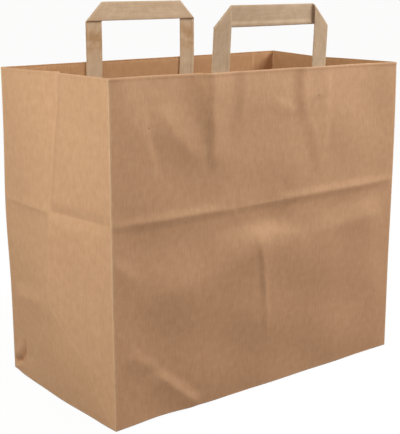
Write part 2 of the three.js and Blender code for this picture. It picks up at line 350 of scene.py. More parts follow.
class HandleSizes(bpy.types.PropertyGroup):
    """Sizes of the tape handles and of the patches over their feet."""

    tape: length("Tape width", "Flat width of the tape", 17.5)
    thickness: length("Tape thickness", "All its layers", 0.8)
    seam: length("Seam", "Edge of the folded-over layer, from the edge of the tape", 3.2)
    seam_step: length("Seam step", "Height of that edge", 0.15)
    front_span: length("Front span", "Front handle, over its legs", 131.2)
    back_span: length("Back span", "Back handle, over its legs", 125)
    top: length("Top", "Floor to the top edge of the grip", 335)
    foot: length("Foot", "Floor to the foot of the legs", HANDLE_BOX[0].z / MM)
    fold_gap: length("Fold gap", "Between the layers at a turned corner", 0.7)
    open_gap: length("Open gap", "The same at the front handle's right corner, which has sprung open", 1.5)
    front_shift: length("Front shift", "Front handle, to the right of the panel's middle", 3.2)
    back_shift: length("Back shift", "Back handle, to the right of its panel's middle, seen from outside", 12)
    front_lean: length("Front lean", "Front grip, up at its right end and down at its left end", 0.9)
    front_sway: length("Front sway", "Front grip, to the right of the feet of its legs", 1.8)
    front_bow: length("Front bow", "Front grip, outwards at its middle", 2.5)
    back_rise: length("Back rise", "Back handle, above the front one", 1.4)
    glue: length("Glue gap", "Between glued pieces", 0.3)
    patch_low: length("Patch foot", "Floor to the lower edge of the patches", PATCH_BOX[0].z / MM)
    patch_high: length("Patch top", "Floor to the top edge of the patches", PATCH_BOX[1].z / MM)
    patch_margin: length("Patch margin", "Beyond the outer edge of each leg", 12)
    patch_ramp: length("Patch ramp", "Run of the slope from the panel up onto a leg", 2.5)


class PaperColours(bpy.types.PropertyGroup):
    """Colours of the papers and the floor."""

    kraft_shade: colour("Kraft shade", "Thin clouds of the kraft sheet", "#C0916A")
    kraft_light: colour("Kraft light", "Dense clouds of the kraft sheet", "#D0A37E")
    # Painted shade: the inner face's clouds are darker and browner than the outer ones, partly the rough
    # side's own tone and partly shade inside the bag painted into the colour
    inside_shade: colour("Inside shade", "Thin clouds of the rough inner face", "#B18055")
    inside_light: colour("Inside light", "Dense clouds of the rough inner face", "#C19269")
    kraft_scuff: colour("Scuffed fold", "Fibres raised along the folds", "#DDB894")
    kraft_speck: colour("Speck", "Bark specks in the pulp", "#8A6748")
    tape_shade: colour("Tape shade", "Darker streaks of the handle tape", "#BC9C7B")
    tape_light: colour("Tape light", "Paler streaks of the handle tape", "#CDAE90")
    # Painted shade: this brown stands partly for glue stains and partly for the shade and warm bounce that
    # fall on the back handle's legs
    tape_stain: colour("Tape stain", "Glue stains on the legs of the handles", "#A57B52")
    floor: colour("Floor", "Pale studio floor", "#F2F1EF")
    floor_bounce: colour("Floor bounce", "Light that the floor throws back on the bag", "#5A3620")


class StageSettings(bpy.types.PropertyGroup):
    """Light levels and the camera."""

    key: power("Key", "Soft light at the left", 4.9)
    fill: power("Fill", "Soft light high at the right", 24.3)
    front: power("Front", "Weak soft light at the front left", 4.3)
    back: power("Back", "Soft light behind, for the far sides", 7)
    sky: bpy.props.FloatProperty(name="Sky", description="Even light from all round", default=0.17, min=0)
    lens: bpy.props.FloatProperty(name="Lens", description="Focal length", default=79.2, unit="CAMERA", min=1)
    camera: bpy.props.FloatVectorProperty(
        name="Camera", description="Where the camera stands", default=(-0.5405, -0.6876, 0.3465),
        subtype="TRANSLATION", unit="LENGTH",
    )
    view: bpy.props.FloatVectorProperty(
        name="View", description="Way the camera looks", default=(0.59667, 0.76840, -0.23141),
        subtype="DIRECTION",
    )


class CarrierBag(bpy.types.PropertyGroup):
    """All settings of the bag and its stage."""

    bag: bpy.props.PointerProperty(type=BagSizes, name="Bag", description="Sizes of the sheet")
    handle: bpy.props.PointerProperty(type=HandleSizes, name="Handles", description="Sizes of the handles")
    colours: bpy.props.PointerProperty(type=PaperColours, name="Colours", description="Paper colours")
    stage: bpy.props.PointerProperty(type=StageSettings, name="Stage", description="Light and camera")


def in_mm(group):
    """The lengths of a property group in millimetres."""
    names = [p.identifier for p in group.bl_rna.properties if p.type == "FLOAT" and p.unit == "LENGTH"]
    return SimpleNamespace(**{name: getattr(group, name) / MM for name in names})


def share(value, start, end):
    """How far value has come from start to end, held between 0 and 1."""
    return np.clip((value - start) / (end - start), 0.0, 1.0)


def ease(value, start, end):
    """The same with level ends: 3 t squared minus 2 t cubed."""
    t = share(value, start, end)
    return t * t * (3 - 2 * t)


def mix(a, b, t):
    """A straight blend from a to b."""
    return a + (b - a) * t


def bell(value, middle, spread):
    """A bell curve: e to the power of minus the squared distance from the middle, in spreads."""
    return np.exp(-(((value - middle) / spread) ** 2))


def wall_length(bag, wall):
    """Length of a wall from fold to fold."""
    return bag.width if wall.along[0] else bag.depth


def middle_fold(bag, tuck, z):
    """Middle fold of a gusset, outwards: a straight bulge up to the 45 degree folds' meeting point, then a
    curve of power 1.3 back to the tuck at the rim."""
    apex = bag.depth / 2
    return mix(bag.apex_bulge * share(z, 0, apex), -tuck, share(z, apex, bag.height) ** 1.3)


def corner_pull(bag, tuck, z):
    """Inward pull on a corner fold, from the gusset's fixed paper width: half minus the root of half squared
    minus fold squared."""
    half = bag.depth / 2
    fold = middle_fold(bag, tuck, np.maximum(z, half))
    return (half - np.sqrt(half**2 - fold**2)) * share(z, 0, half)


def fold_line(bag, wall, s):
    """Height of the packing fold along a wall: straight between its ends."""
    return bag.fold_height + mix(*wall.fold, s / wall_length(bag, wall))


def packing_fold(bag, wall, s, z):
    """Ridge of the packing fold: a rounded crest whose flanks fall by a power of the distance. It stands out
    of the wide panels and of the back half of a gusset, sinks into the gusset's front half, and is weaker
    near the corner folds. Its upper flank is flattened above the pillow on the front panel."""
    rise = z - fold_line(bag, wall, s)
    near = np.minimum(s, wall_length(bag, wall) - s)
    if wall.along[0]:
        crest, ridge = WIDE_CREST, bag.fold_ridge
        flat = ease(s, *FLAT_START) * ease(s, *FLAT_END) if wall is FRONT else 0
        above, below = mix(crest.above, FLAT_REACH, flat), crest.below
    else:
        front_half = ease(s if wall is LEFT else bag.depth - s, *CREST_CHANGE)
        crest, ridge = FRONT_CREST, bag.fold_groove * mix(*CREST_SHARES, front_half)
        above = mix(BACK_CREST.above, crest.above, front_half)
        below = mix(BACK_CREST.below, crest.below, front_half)
    ends = share(near, 0, CREST_END) * mix(WEAK_CREST, 1, share(near, *WEAK_RUN))
    away = np.hypot(rise, crest.radius) - crest.radius
    return ridge * np.clip(1 - away / np.where(rise > 0, above, below), 0, 1) ** crest.power * ends


def line_distance(path, s, z):
    """Distance from a line of points, with the sign of the side, and the share of its length that has been
    passed at the nearest place on it."""
    nodes = np.array(path, float)
    runs = np.diff(nodes, axis=0)
    sizes = np.hypot(*runs.T)
    passed = np.cumsum(sizes) - sizes
    aside, forward = np.full(np.broadcast(s, z).shape, np.inf), 0.0
    for node, run, size, before in zip(nodes, runs, sizes, passed):
        from_s, from_z = s - node[0], z - node[1]
        t = np.clip((from_s * run[0] + from_z * run[1]) / size**2, 0, 1)
        away = np.hypot(from_s - t * run[0], from_z - t * run[1])
        side = np.where(from_z * run[0] - from_s * run[1] < 0, -1, 1)
        nearer = away < np.abs(aside)
        aside = np.where(nearer, side * away, aside)
        forward = np.where(nearer, (before + t * size) / sizes.sum(), forward)
    return aside, forward


def kinks(lines, s, z):
    """Sum of kinks: rise times a rounded crest of power 1.5 across the line and an eased fade at its ends."""
    total = np.zeros(np.broadcast(s, z).shape)
    for line in lines:
        aside, forward = line_distance(line.path, s, z)
        away = np.hypot(aside, line.radius) - line.radius
        crest = np.clip(1 - away / np.where(aside > 0, line.left, line.right), 0, 1) ** 1.5
        total += line.rise * crest * ease(forward, 0, line.fade[0]) * ease(forward, 1, 1 - line.fade[1])
    return total


def swells(spots, s, z):
    """Sum of soft bulges: rise times a bell curve in s and z."""
    total = np.zeros(np.broadcast(s, z).shape)
    for spot in spots:
        far = ((s - spot.centre[0]) / spot.reach[0]) ** 2 + ((z - spot.centre[1]) / spot.reach[1]) ** 2
        total += spot.rise * np.exp(-far)
    return total


def waves(wall, s, z):
    """Sum of long sine waves across a wall, each wall with its own phase."""
    start = WALLS.index(wall) * WAVE_PHASE
    return sum(
        height * np.sin(2 * np.pi * (s * np.cos(turn) + z * np.sin(turn)) / size + phase + start)
        for size, turn, phase, height in WAVES
    )


def drift(bag, wall, s, z):
    """How far the slanted folds of the left gusset have set towards the front: straight blends along the wall
    from none at the corner folds to a ramp of the height at the back slanted fold, and to a bell curve of the
    height at the front one."""
    if wall is not LEFT:
        return 0
    half = bag.depth / 2
    back = np.minimum(z, DRIFT_LIMIT - DRIFT_LOSS * z) * share(z, half, DRIFT_TOP)
    front = DRIFT_FRONT * bell(z, *DRIFT_FRONT_BELL)
    nearly_none = 1e-6
    low = np.clip(z, nearly_none, half - nearly_none)
    between = mix(back, front, share(s, low, bag.depth - low))
    return between * np.minimum(share(s, 0, low), share(s, bag.depth, bag.depth - low))


def wall_out(bag, wall, s, z, kinked=1):
    """How far the paper stands out of a flat wall at distance s and height z.

    A gusset is three facets with blunt slanted folds, a wide panel a sine belly with a bowed rim. The
    packing fold, long waves, soft swells and a bead at the rim are added, and the share of the kinks that
    kinked gives.
    """
    half, size = bag.depth / 2, wall_length(bag, wall)
    start, end = (getattr(bag, name) for name in wall.tucks)
    near = np.minimum(s, size - s)
    if wall.along[0]:
        u = s / size
        bow = bag.front_wave * np.sin(2 * np.pi * u) if wall is FRONT else -bag.back_bow * np.sin(np.pi * u)
        base = bag.belly * np.sin(np.pi * u) * np.sin(np.pi * np.minimum(z / bag.height, 1))
        base = base + bow * share(z, half, bag.height) ** 2
        base = base - mix(corner_pull(bag, start, z), corner_pull(bag, end, z), u)
    else:
        bow = bag.foot_bow * np.sin(np.pi * s / size) * (1 - share(z, 0, half))
        blunt = BLUNT * share(np.minimum(near, z), 0, BLUNT_RUN) * share(z, half, half - BLUNT_RUN)
        below = bag.apex_bulge * ((near + z) / 2 - np.hypot((near - z) / 2, blunt)) / half + bow
        base = np.where(z < half, below, middle_fold(bag, start, z) * near / half)
    soft = ease(near, 0, CALM_RUN) * (waves(wall, s, z) + swells(SWELLS[wall.name], s, z))
    bead = RIM_BEAD * bell(bag.height - z, *RIM_BEAD_BELL)
    creased = kinked * share(near, 0, CREASE_RUN) * kinks(KINKS[wall.name], s + drift(bag, wall, s, z), z)
    return base + packing_fold(bag, wall, s, z) + creased + soft + bead


def on_wall(bag, wall, s, z, lift=0, kinked=1):
    """Points at distance s along a wall and height z, moved out by the wall's shape plus a lift."""
    half = bag.depth / 2
    along = s + drift(bag, wall, s, z)
    if not wall.along[0]:
        along = half + (along - half) * (1 - corner_pull(bag, getattr(bag, wall.tucks[0]), z) / half)
    out = wall_out(bag, wall, s, np.minimum(z, bag.height), kinked) + lift
    x = wall.corner[0] * bag.width / 2 + wall.along[0] * along + wall.outward[0] * out
    y = wall.corner[1] * bag.depth / 2 + wall.along[1] * along + wall.outward[1] * out
    return np.stack(np.broadcast_arrays(x, y, z), -1)


def settle(bag, points):
    """How the whole bag stands: the rim twists by x times y, the lower front edge lifts in a bell curve, and
    the back left corner fold bows out at half height."""
    x, y, z = np.moveaxis(points, -1, 0)
    wide, deep = bag.width / 2, bag.depth / 2
    twist = bag.rim_twist * x * y / (wide * deep) * share(z, deep, bag.height)
    lift = bag.foot_lift * bell(x, *LIFT_BELL) * share(y, 0, -deep) * (1 - share(z, 0, LIFT_TOP))
    bow = CORNER_BOW * bell(z, *CORNER_BOW_BELL)
    bow = bow * ease(x, CORNER_BOW_REACH[0] - wide, -wide) * ease(y, deep - CORNER_BOW_REACH[1], deep)
    return np.stack((x - bow, y, z + twist + lift), -1)


def fold_wear(bag, wall, s, z):
    """Scuffing from 0 to 1, the walls' share of the mask that on the handles holds glue stains and painted
    shade: bell curves of the distance to the corner, middle, bottom, 45 degree and packing folds and to the
    rim."""
    half, size = bag.depth / 2, wall_length(bag, wall)
    near = np.minimum(s, size - s)
    folds = [
        (near, WEAR_CORNER),
        (z, WEAR_FOOT),
        (z - fold_line(bag, wall, s), WEAR_PACKING),
        (bag.height - z, WEAR_RIM),
    ]
    ended = half * (z > half)
    if wall.along[0]:
        folds.append((np.abs(near + z - half) / np.sqrt(2) + ended, WEAR_PANEL_SLANT))
    else:
        folds.append((np.abs(near - z) / np.sqrt(2) + ended, WEAR_GUSSET_SLANT))
        folds.append((half - near, WEAR_MIDDLE))
    total = np.zeros(np.broadcast(s, z).shape)
    for distance, strength in folds:
        total = np.maximum(total, strength * bell(distance, 0, WEAR_SPREAD))
    return total


class Grid(NamedTuple):
    """A grid of points with, for each point, its place on the flat paper and its scuffing, which on a handle
    is glue stain and painted shade. rising tells for each column which way its cells are split: a diagonal up
    to the right, or down."""

    points: np.ndarray
    paper: np.ndarray
    wear: np.ndarray
    rising: np.ndarray


def plain_grid(points, paper):
    """A grid with no scuffing."""
    rows, columns = points.shape[:2]
    return Grid(points, paper, np.zeros((rows, columns)), np.ones(columns - 1, bool))


def grid_triangles(grid):
    """Two triangles for each cell of a grid, split along the diagonal that its column asks for."""
    rows, columns = grid.points.shape[:2]
    index = np.arange(rows * columns).reshape(rows, columns)
    a, b, c, d = index[:-1, :-1], index[:-1, 1:], index[1:, 1:], index[1:, :-1]
    up = np.broadcast_to(grid.rising, a.shape)
    first = np.stack((a, b, np.where(up, c, d)), -1)
    second = np.stack((np.where(up, a, b), c, d), -1)
    return np.concatenate((first, second)).reshape(-1, 3)


def piece(name, grids, materials, thickness=0.0):
    """One object from grids: their triangles with shared seams merged, and a wall of the given thickness
    behind the faces. The last material is the back of that wall."""
    counts = np.cumsum([0] + [grid.wear.size for grid in grids])
    points = np.concatenate([grid.points.reshape(-1, 3) for grid in grids]) * MM
    paper = np.concatenate([grid.paper.reshape(-1, 2) for grid in grids]) * MM
    wear = np.concatenate([grid.wear.ravel() for grid in grids])
    faces = np.concatenate([grid_triangles(grid) + start for grid, start in zip(grids, counts)])
    mesh = bpy.data.meshes.new(name)
    mesh.from_pydata(points.tolist(), [], faces.tolist())
    corners = np.empty(len(mesh.loops), np.int32)
    mesh.loops.foreach_get("vertex_index", corners)
    mesh.uv_layers.new(name="paper").data.foreach_set("uv", paper[corners].ravel())
    # scuffing of the sheet's folds, and on the handles glue stains with painted shade
    mesh.attributes.new("fold_wear", "FLOAT", "POINT").data.foreach_set("value", wear)
    for material in materials:
        mesh.materials.append(material)
    work = bmesh.new()
    work.from_mesh(mesh)
    bmesh.ops.remove_doubles(work, verts=work.verts, dist=TINY * MM)
    work.to_mesh(mesh)
    work.free()
    mesh.shade_smooth()
    made = bpy.data.objects.new(name, mesh)
    bpy.context.scene.collection.objects.link(made)
    if thickness:
        wall = made.modifiers.new("paper", "SOLIDIFY")
        wall.thickness, wall.offset, wall.use_even_offset = thickness * MM, -1, True
        wall.material_offset = len(materials) - 1
    return made


def columns_of(bag, wall):
    """Distances along a wall: even steps that meet its 45 degree folds, with close lines beside each fold."""
    half, size = bag.depth / 2, wall_length(bag, wall)
    even = np.linspace(0, half, (BACK_STEPS if wall is BACK else CORNER_STEPS) + 1)
    edges = np.array(FOLD_EDGES)
    parts = [even, size - even, edges, size - edges]
    if wall.along[0]:
        parts.append(np.linspace(half, size - half, (BACK_STEPS if wall is BACK else MIDDLE_STEPS) + 1))
    else:
        parts.extend((half - edges, half + edges))
    if wall is LEFT:
        parts.append(even[:POCKET_STEPS] + even[1] / 2)
    if wall is BACK:
        lap = bag.lap_inset + bag.lap_width
        parts.append(np.array((bag.lap_inset, lap - bag.paper, lap)))
    return np.unique(np.round(np.concatenate(parts), 4))


def rows_of(bag):
    """Heights up a wall: even steps that meet the 45 degree folds, the packing fold and the rim."""
    half, top = bag.depth / 2, bag.height
    edges, rim = np.array(FOLD_EDGES), np.array(RIM_EDGES)
    parts = [
        np.linspace(0, half, CORNER_STEPS + 1),
        edges,
        np.linspace(half, bag.fold_height, CALM_ROWS + 1),
        bag.fold_height - edges,
        bag.fold_height + edges,
        np.linspace(bag.fold_height, top - rim[-1], UPPER_ROWS + 1),
        top - rim,
        np.array((top,)),
    ]
    return np.unique(np.round(np.concatenate(parts), 4))


def wall_grid(bag, wall, start):
    """One wall as a grid. Rows slide up or down with the packing fold, most at the fold itself."""
    half, top = bag.depth / 2, bag.height
    s, row = np.meshgrid(columns_of(bag, wall), rows_of(bag))
    close = np.minimum(share(row, half, bag.fold_height), share(row, top, bag.fold_height))
    z = row + close * (fold_line(bag, wall, s) - bag.fold_height)
    lap = np.zeros_like(s)
    if wall is BACK:
        lap = bag.paper * share(s, 0, bag.lap_inset) * (s < bag.lap_inset + bag.lap_width - TINY)
    points = settle(bag, on_wall(bag, wall, s, z, lap))
    first_half = s[0, :-1] < wall_length(bag, wall) / 2 - TINY
    rising = first_half != bool(wall.along[0])
    return Grid(points, np.stack((s + start, row), -1), fold_wear(bag, wall, s, z), rising)


def floor_grid(bag, wall, start):
    """The inner bottom below one wall: its lower edge drawn in along straight lines to the middle line of
    the bottom, and to the ends of that line below a gusset."""
    half = bag.depth / 2
    ridge = bag.width / 2 - half
    s = columns_of(bag, wall)
    edge = on_wall(bag, wall, s, np.zeros_like(s))
    goal = np.zeros_like(edge)
    goal[:, 0] = np.clip(edge[:, 0], -ridge, ridge)
    reach = np.array((half, *FLOOR_ROWS, *FOLD_EDGES[::-1], 0))[:, None]
    points = mix(edge, goal, reach[..., None] / half)
    points[..., 2] = INNER_BOTTOM * bag.paper * share(reach, 0, 1)
    paper = np.stack(np.broadcast_arrays(s + start, -reach), -1)
    wear = WEAR_FOOT * bell(reach, 0, WEAR_SPREAD) * np.ones(len(s))
    return Grid(settle(bag, points), paper, wear, np.ones(len(s) - 1, bool))


def flap_grid(bag, side):
    """A glued bottom flap seen from below: a trapezium with 45 degree ends, from the lower edge of a wide
    panel to past the middle of the bottom. The front one climbs to slip in behind the back one."""
    half, wide = bag.depth / 2, bag.width / 2
    reach = np.linspace(FLAP_INSET, half + bag.flap_overlap / 2, FLAP_STEPS[0])[:, None]
    across = np.linspace(-1, 1, FLAP_STEPS[1]) * side
    x = across * (wide - reach)
    y = side * (half - reach) * np.ones_like(x)
    z = bag.paper * share(reach, 0, half - bag.flap_overlap / 2) * (side < 0) * np.ones_like(x)
    points = np.stack((x, y, z), -1)
    paper = np.stack((x + FLAP_PAPER[0], y + FLAP_PAPER[1] * side), -1)
    return plain_grid(settle(bag, points), paper)


def end_grid(bag, wall, start):
    """The folded end of a gusset on the inner bottom: its lower edge drawn in to a point."""
    s = columns_of(bag, wall)[::-1]
    edge = on_wall(bag, wall, s, np.zeros_like(s), -END_INSET)
    goal = np.array((wall.outward[0] * (bag.width - bag.depth) / 2, 0, 0))
    t = np.linspace(0, 1, END_ROWS)[:, None]
    points = mix(edge, goal, t[..., None])
    points[..., 2] = GUSSET_END * bag.paper
    paper = np.stack(np.broadcast_arrays(s + start, -t * bag.depth / 2), -1)
    return plain_grid(settle(bag, points), paper)


def bag_grids(bag):
    """All grids of the folded sheet: walls, inner bottom, flaps and gusset ends."""
    starts = np.cumsum([0] + [wall_length(bag, wall) for wall in WALLS])
    made = []
    for wall, start in zip(WALLS, starts):
        made.extend((floor_grid(bag, wall, start), wall_grid(bag, wall, start)))
    ends = [end_grid(bag, wall, starts[i]) for i, wall in enumerate(WALLS) if not wall.along[0]]
    return [*made, flap_grid(bag, 1), flap_grid(bag, -1), *ends]


class Fit(NamedTuple):
    """How a handle was glued in: its span over the legs, its shift along the panel, the lean of its grip up
    at the right end and its sway to the right, its rise, the outward bow of its grip, the gaps at its two
    turned corners, and how strongly its legs carry glue stains and painted shade."""

    span: float
    shift: float
    lean: float
    sway: float
    rise: float
    bow: float
    gaps: tuple
    stain_and_shade: float


def handle_fits(handle):
    """The fits of the front handle and of the back handle. The front one's right corner has sprung open."""
    front = Fit(
        span=handle.front_span, shift=handle.front_shift, lean=handle.front_lean, sway=handle.front_sway,
        rise=0, bow=handle.front_bow, gaps=(handle.fold_gap, handle.open_gap), stain_and_shade=0,
    )
    back = Fit(
        span=handle.back_span, shift=handle.back_shift, lean=0, sway=0,
        # the back handle's legs get the brown of glue stains and painted shade
        rise=handle.back_rise, bow=0, gaps=(handle.fold_gap, handle.fold_gap), stain_and_shade=0.9,
    )
    return front, back


def half_handle(bag, handle, span, gap):
    """Left half of a handle as straight lines across the tape: two ends and a normal for each.

    x runs along the panel, y into the bag and z up. The lines climb the leg, tilt to 45 degrees, and turn
    over a cylinder on that slant, whose axis they follow.
    """
    out = -span / 2
    y = handle.glue + handle.thickness / 2
    radius = (handle.thickness + gap) / 2
    start = handle.top - handle.tape - np.pi * radius / np.sqrt(2)
    slant = np.array((1, 0, 1)) / np.sqrt(2)
    away = np.array((-1, 0, 1)) / np.sqrt(2)
    panel = np.array((0, -1, 0))
    hidden = np.linspace(handle.foot, bag.height, LEG_ROWS[0])
    shown = np.linspace(bag.height, start, LEG_ROWS[1])[1:]
    z = np.concatenate((hidden, shown))
    tilt = share(z, bag.height, start)
    outer = np.stack((np.full_like(z, out), np.full_like(z, y), z), -1)
    inner = outer + handle.tape * np.stack((np.ones_like(z), np.zeros_like(z), tilt), -1)
    angle = np.linspace(0, np.pi, TURN_ROWS)[1:, None]
    normal = np.sin(angle) * away + np.cos(angle) * panel
    bend = np.array((out, y + radius, start)) + slant * radius * angle + normal * radius
    far_bend = bend + slant * handle.tape * np.sqrt(2)
    ends = np.stack((np.concatenate((outer, bend)), np.concatenate((inner, far_bend))))
    normals = np.concatenate((np.broadcast_to(panel, outer.shape), normal))
    return ends, normals


def tape_profile(handle):
    """Closed section of the tape as shares of its width and heights on its normal: rounded edges, and the
    step of the folded-over layer on the back."""
    half, edge, seam = handle.thickness / 2, TAPE_EDGE / handle.tape, handle.seam / handle.tape
    front = np.linspace(2 * edge, 1 - 2 * edge, TAPE_POINTS[0])
    rest = np.linspace(1 - 2 * edge, seam + edge, TAPE_POINTS[1])
    near, far = edge / 2, 1 - edge / 2
    across = np.concatenate(((0, near), front, (far, 1, far), rest, (seam, 2 * edge, near, 0)))
    back = -half - handle.seam_step
    shoulder = SHOULDER * half
    far_edge, near_edge = (shoulder, 0, -shoulder), (back, back, SHOULDER * back, 0)
    rise = np.concatenate(
        ((0, shoulder), np.full_like(front, half), far_edge, np.full_like(rest, -half), near_edge)
    )
    return across, rise


def handle_grid(bag, handle, wall, fit):
    """A whole handle: the tape's section carried along the lines of both halves and straight across the
    grip, set on the inner face of its panel, with both feet closed. Lean and sway grow with the height above
    the rim, the grip bows by a square of x, which turns the legs, and glue stains with painted shade are bell
    curves of the height on the legs."""
    ends, normals = half_handle(bag, handle, fit.span, fit.gaps[0])
    far_ends, far_normals = half_handle(bag, handle, fit.span, fit.gaps[1])
    mirror = np.array((-1, 1, 1))
    far_ends, far_normals = far_ends[:, ::-1] * mirror, far_normals[::-1] * mirror
    t = np.linspace(0, 1, GRIP_ROWS)[1:-1, None]
    grip = mix(ends[:, -1:], far_ends[:, :1], t)
    lines = np.concatenate((ends, grip, far_ends), 1)
    normals = np.concatenate((normals, np.broadcast_to(normals[-1], grip[0].shape), far_normals))
    across, height = tape_profile(handle)
    local = mix(lines[0][:, None], lines[1][:, None], across[:, None]) + normals[:, None] * height[:, None]
    feet = np.broadcast_to(local.mean(1, keepdims=True)[[0, -1]], local[:2].shape)
    local = np.concatenate((feet[:1], local, feet[1:]))
    above = share(local[..., 2], bag.height, handle.top - handle.tape)
    local[..., 2] += fit.rise + fit.lean * above * local[..., 0] / (fit.span / 2)
    local[..., 0] += fit.sway * above
    arc = (local[..., 0] / (fit.span - handle.tape) * 2) ** 2 - 1
    local[..., 1] += fit.bow * arc * share(local[..., 2], bag.height - BOW_RUN, bag.height)
    passed = np.cumsum(np.linalg.norm(np.diff(lines.mean(0), axis=0), axis=-1))
    run = np.concatenate(((0, 0), passed, passed[-1:]))
    unfolded = across * handle.tape + 3 * handle.tape * (height < 0)
    paper = np.stack(np.broadcast_arrays(unfolded, run[:, None]), -1)
    made = plain_grid(settle(bag, inside_panel(bag, handle, wall, local, fit.shift)), paper)
    leg = np.abs(local[..., 0]) > fit.span / 2 - handle.tape
    # mask of the legs' glue stains and painted shade, strongest a little above the rim
    return made._replace(wear=fit.stain_and_shade * leg * bell(local[..., 2] - bag.height, *STAIN_AND_SHADE_BELL))


def inside_panel(bag, handle, wall, local, shift):
    """Points given along, into and up a panel, moved to its inner face. Up to the top of the patches they
    follow its kinks, and from there to the rim they ease away from them."""
    x, y, z = np.moveaxis(local, -1, 0)
    glued = ease(z, bag.height, handle.patch_high)
    return on_wall(bag, wall, bag.width / 2 + x + shift, z, -bag.paper - y, glued)


def patch_grid(bag, handle, wall, fit):
    """A patch: a sheet on the panel whose height follows a trapezium over each leg."""
    outer, ramp = fit.span / 2, handle.patch_ramp
    inner = outer - handle.tape
    half = outer + handle.patch_margin
    high = np.array((inner - handle.glue, outer + handle.glue))
    marks = np.array((high[0] - ramp, *high, high[1] + ramp))
    x = np.unique(np.round(np.concatenate((np.linspace(-half, half, PATCH_STEPS[0]), marks, -marks)), 4))
    x, z = np.meshgrid(x, np.linspace(handle.patch_low, handle.patch_high, PATCH_STEPS[1]))
    climb = np.minimum(share(np.abs(x), marks[0], marks[1]), share(np.abs(x), marks[3], marks[2]))
    y = handle.glue + bag.paper + climb * (handle.glue + handle.thickness)
    local = np.stack((x, y, z), -1)[:, ::-1]
    paper = np.stack((x + PATCH_PAPER, z), -1)[:, ::-1]
    return plain_grid(settle(bag, inside_panel(bag, handle, wall, local, fit.shift)), paper)


def add(tree, kind, settings=(), inputs=()):
    """Add a node with its settings, and set or link its inputs. A node given as an input means its first
    output in use."""
    made = tree.nodes.new(kind)
    for key, value in dict(settings).items():
        setattr(made, key, value)
    for key, value in dict(inputs).items():
        socket = next(s for s in made.inputs if key in (s.identifier, s.name))
        if isinstance(value, bpy.types.Node):
            value = next(s for s in value.outputs if s.enabled)
        if isinstance(value, bpy.types.NodeSocket):
            tree.links.new(value, socket)
        else:
            socket.default_value = value
    return made


def bare_tree(owner):
    """The emptied node tree of a material or a world."""
    owner.use_nodes = True
    owner.node_tree.nodes.clear()
    return owner.node_tree


def per(size):
    """Pattern scale that repeats every size millimetres on coordinates in metres."""
    return 1 / (size * MM)


def kraft_paper(name, shade, light, colours):
    """Machine-glazed unbleached kraft, pressed smooth against a hot roller on one face.

    It is matt, clouded where the fibres lie thick or thin, faintly streaked up the web, flecked with bark,
    and pale where a fold has raised the fibres. Shade and light are the cloud colours of the face.
    """
    material = bpy.data.materials.new(name)
    tree = bare_tree(material)
    paper = add(tree, "ShaderNodeUVMap", {"uv_map": "paper"})
    clouds = add(
        tree, "ShaderNodeTexNoise", {}, {"Vector": paper, "Scale": per(7), "Detail": 4, "Roughness": 0.6}
    )
    spread = add(tree, "ShaderNodeMapRange", {}, {"Value": clouds, "From Min": 0.1, "From Max": 0.9})
    sheet = add(
        tree, "ShaderNodeMix", {"data_type": "RGBA"},
        {"Factor_Float": spread, "A_Color": shade, "B_Color": light},
    )
    # real fibres are 0.03 mm wide; these streaks are drawn as coarse as the render can show
    stretched = add(tree, "ShaderNodeMapping", {}, {"Vector": paper, "Scale": (per(1.6), per(11), 1)})
    fibres = add(
        tree, "ShaderNodeTexNoise", {}, {"Vector": stretched, "Scale": 1, "Detail": 3, "Roughness": 0.6}
    )
    streaked = add(
        tree, "ShaderNodeMix", {"data_type": "RGBA", "blend_type": "OVERLAY"},
        {"Factor_Float": 0.16, "A_Color": sheet, "B_Color": fibres},
    )
    cells = add(tree, "ShaderNodeTexVoronoi", {}, {"Vector": paper, "Scale": per(26), "Randomness": 1})
    fleck = add(tree, "ShaderNodeMapRange", {}, {"Value": cells, "From Min": 0.034, "From Max": 0.018})
    flecked = add(
        tree, "ShaderNodeMix", {"data_type": "RGBA"},
        {"Factor_Float": fleck, "A_Color": streaked, "B_Color": colours.kraft_speck},
    )
    wear = add(tree, "ShaderNodeAttribute", {"attribute_name": "fold_wear"})
    patchy = add(tree, "ShaderNodeTexNoise", {}, {"Vector": paper, "Scale": per(9), "Detail": 2})
    scuff = add(
        tree, "ShaderNodeMath", {"operation": "MULTIPLY"}, {"Value": wear.outputs["Fac"], "Value_001": patchy}
    )
    scuffed = add(
        tree, "ShaderNodeMix", {"data_type": "RGBA"},
        {"Factor_Float": scuff, "A_Color": flecked, "B_Color": colours.kraft_scuff},
    )
    relief = add(tree, "ShaderNodeMath", {"operation": "ADD"}, {"Value": clouds, "Value_001": fibres})
    bump = add(tree, "ShaderNodeBump", {}, {"Height": relief, "Strength": 0.35, "Distance": 0.25 * MM})
    rough = add(tree, "ShaderNodeMapRange", {}, {"Value": clouds, "To Min": 0.72, "To Max": 0.9})
    surface = add(
        tree, "ShaderNodeBsdfPrincipled", {},
        {"Base Color": scuffed, "Roughness": rough, "Specular IOR Level": 0.28, "IOR": 1.5, "Normal": bump},
    )
    add(tree, "ShaderNodeOutputMaterial", {}, {"Surface": surface})
    return material


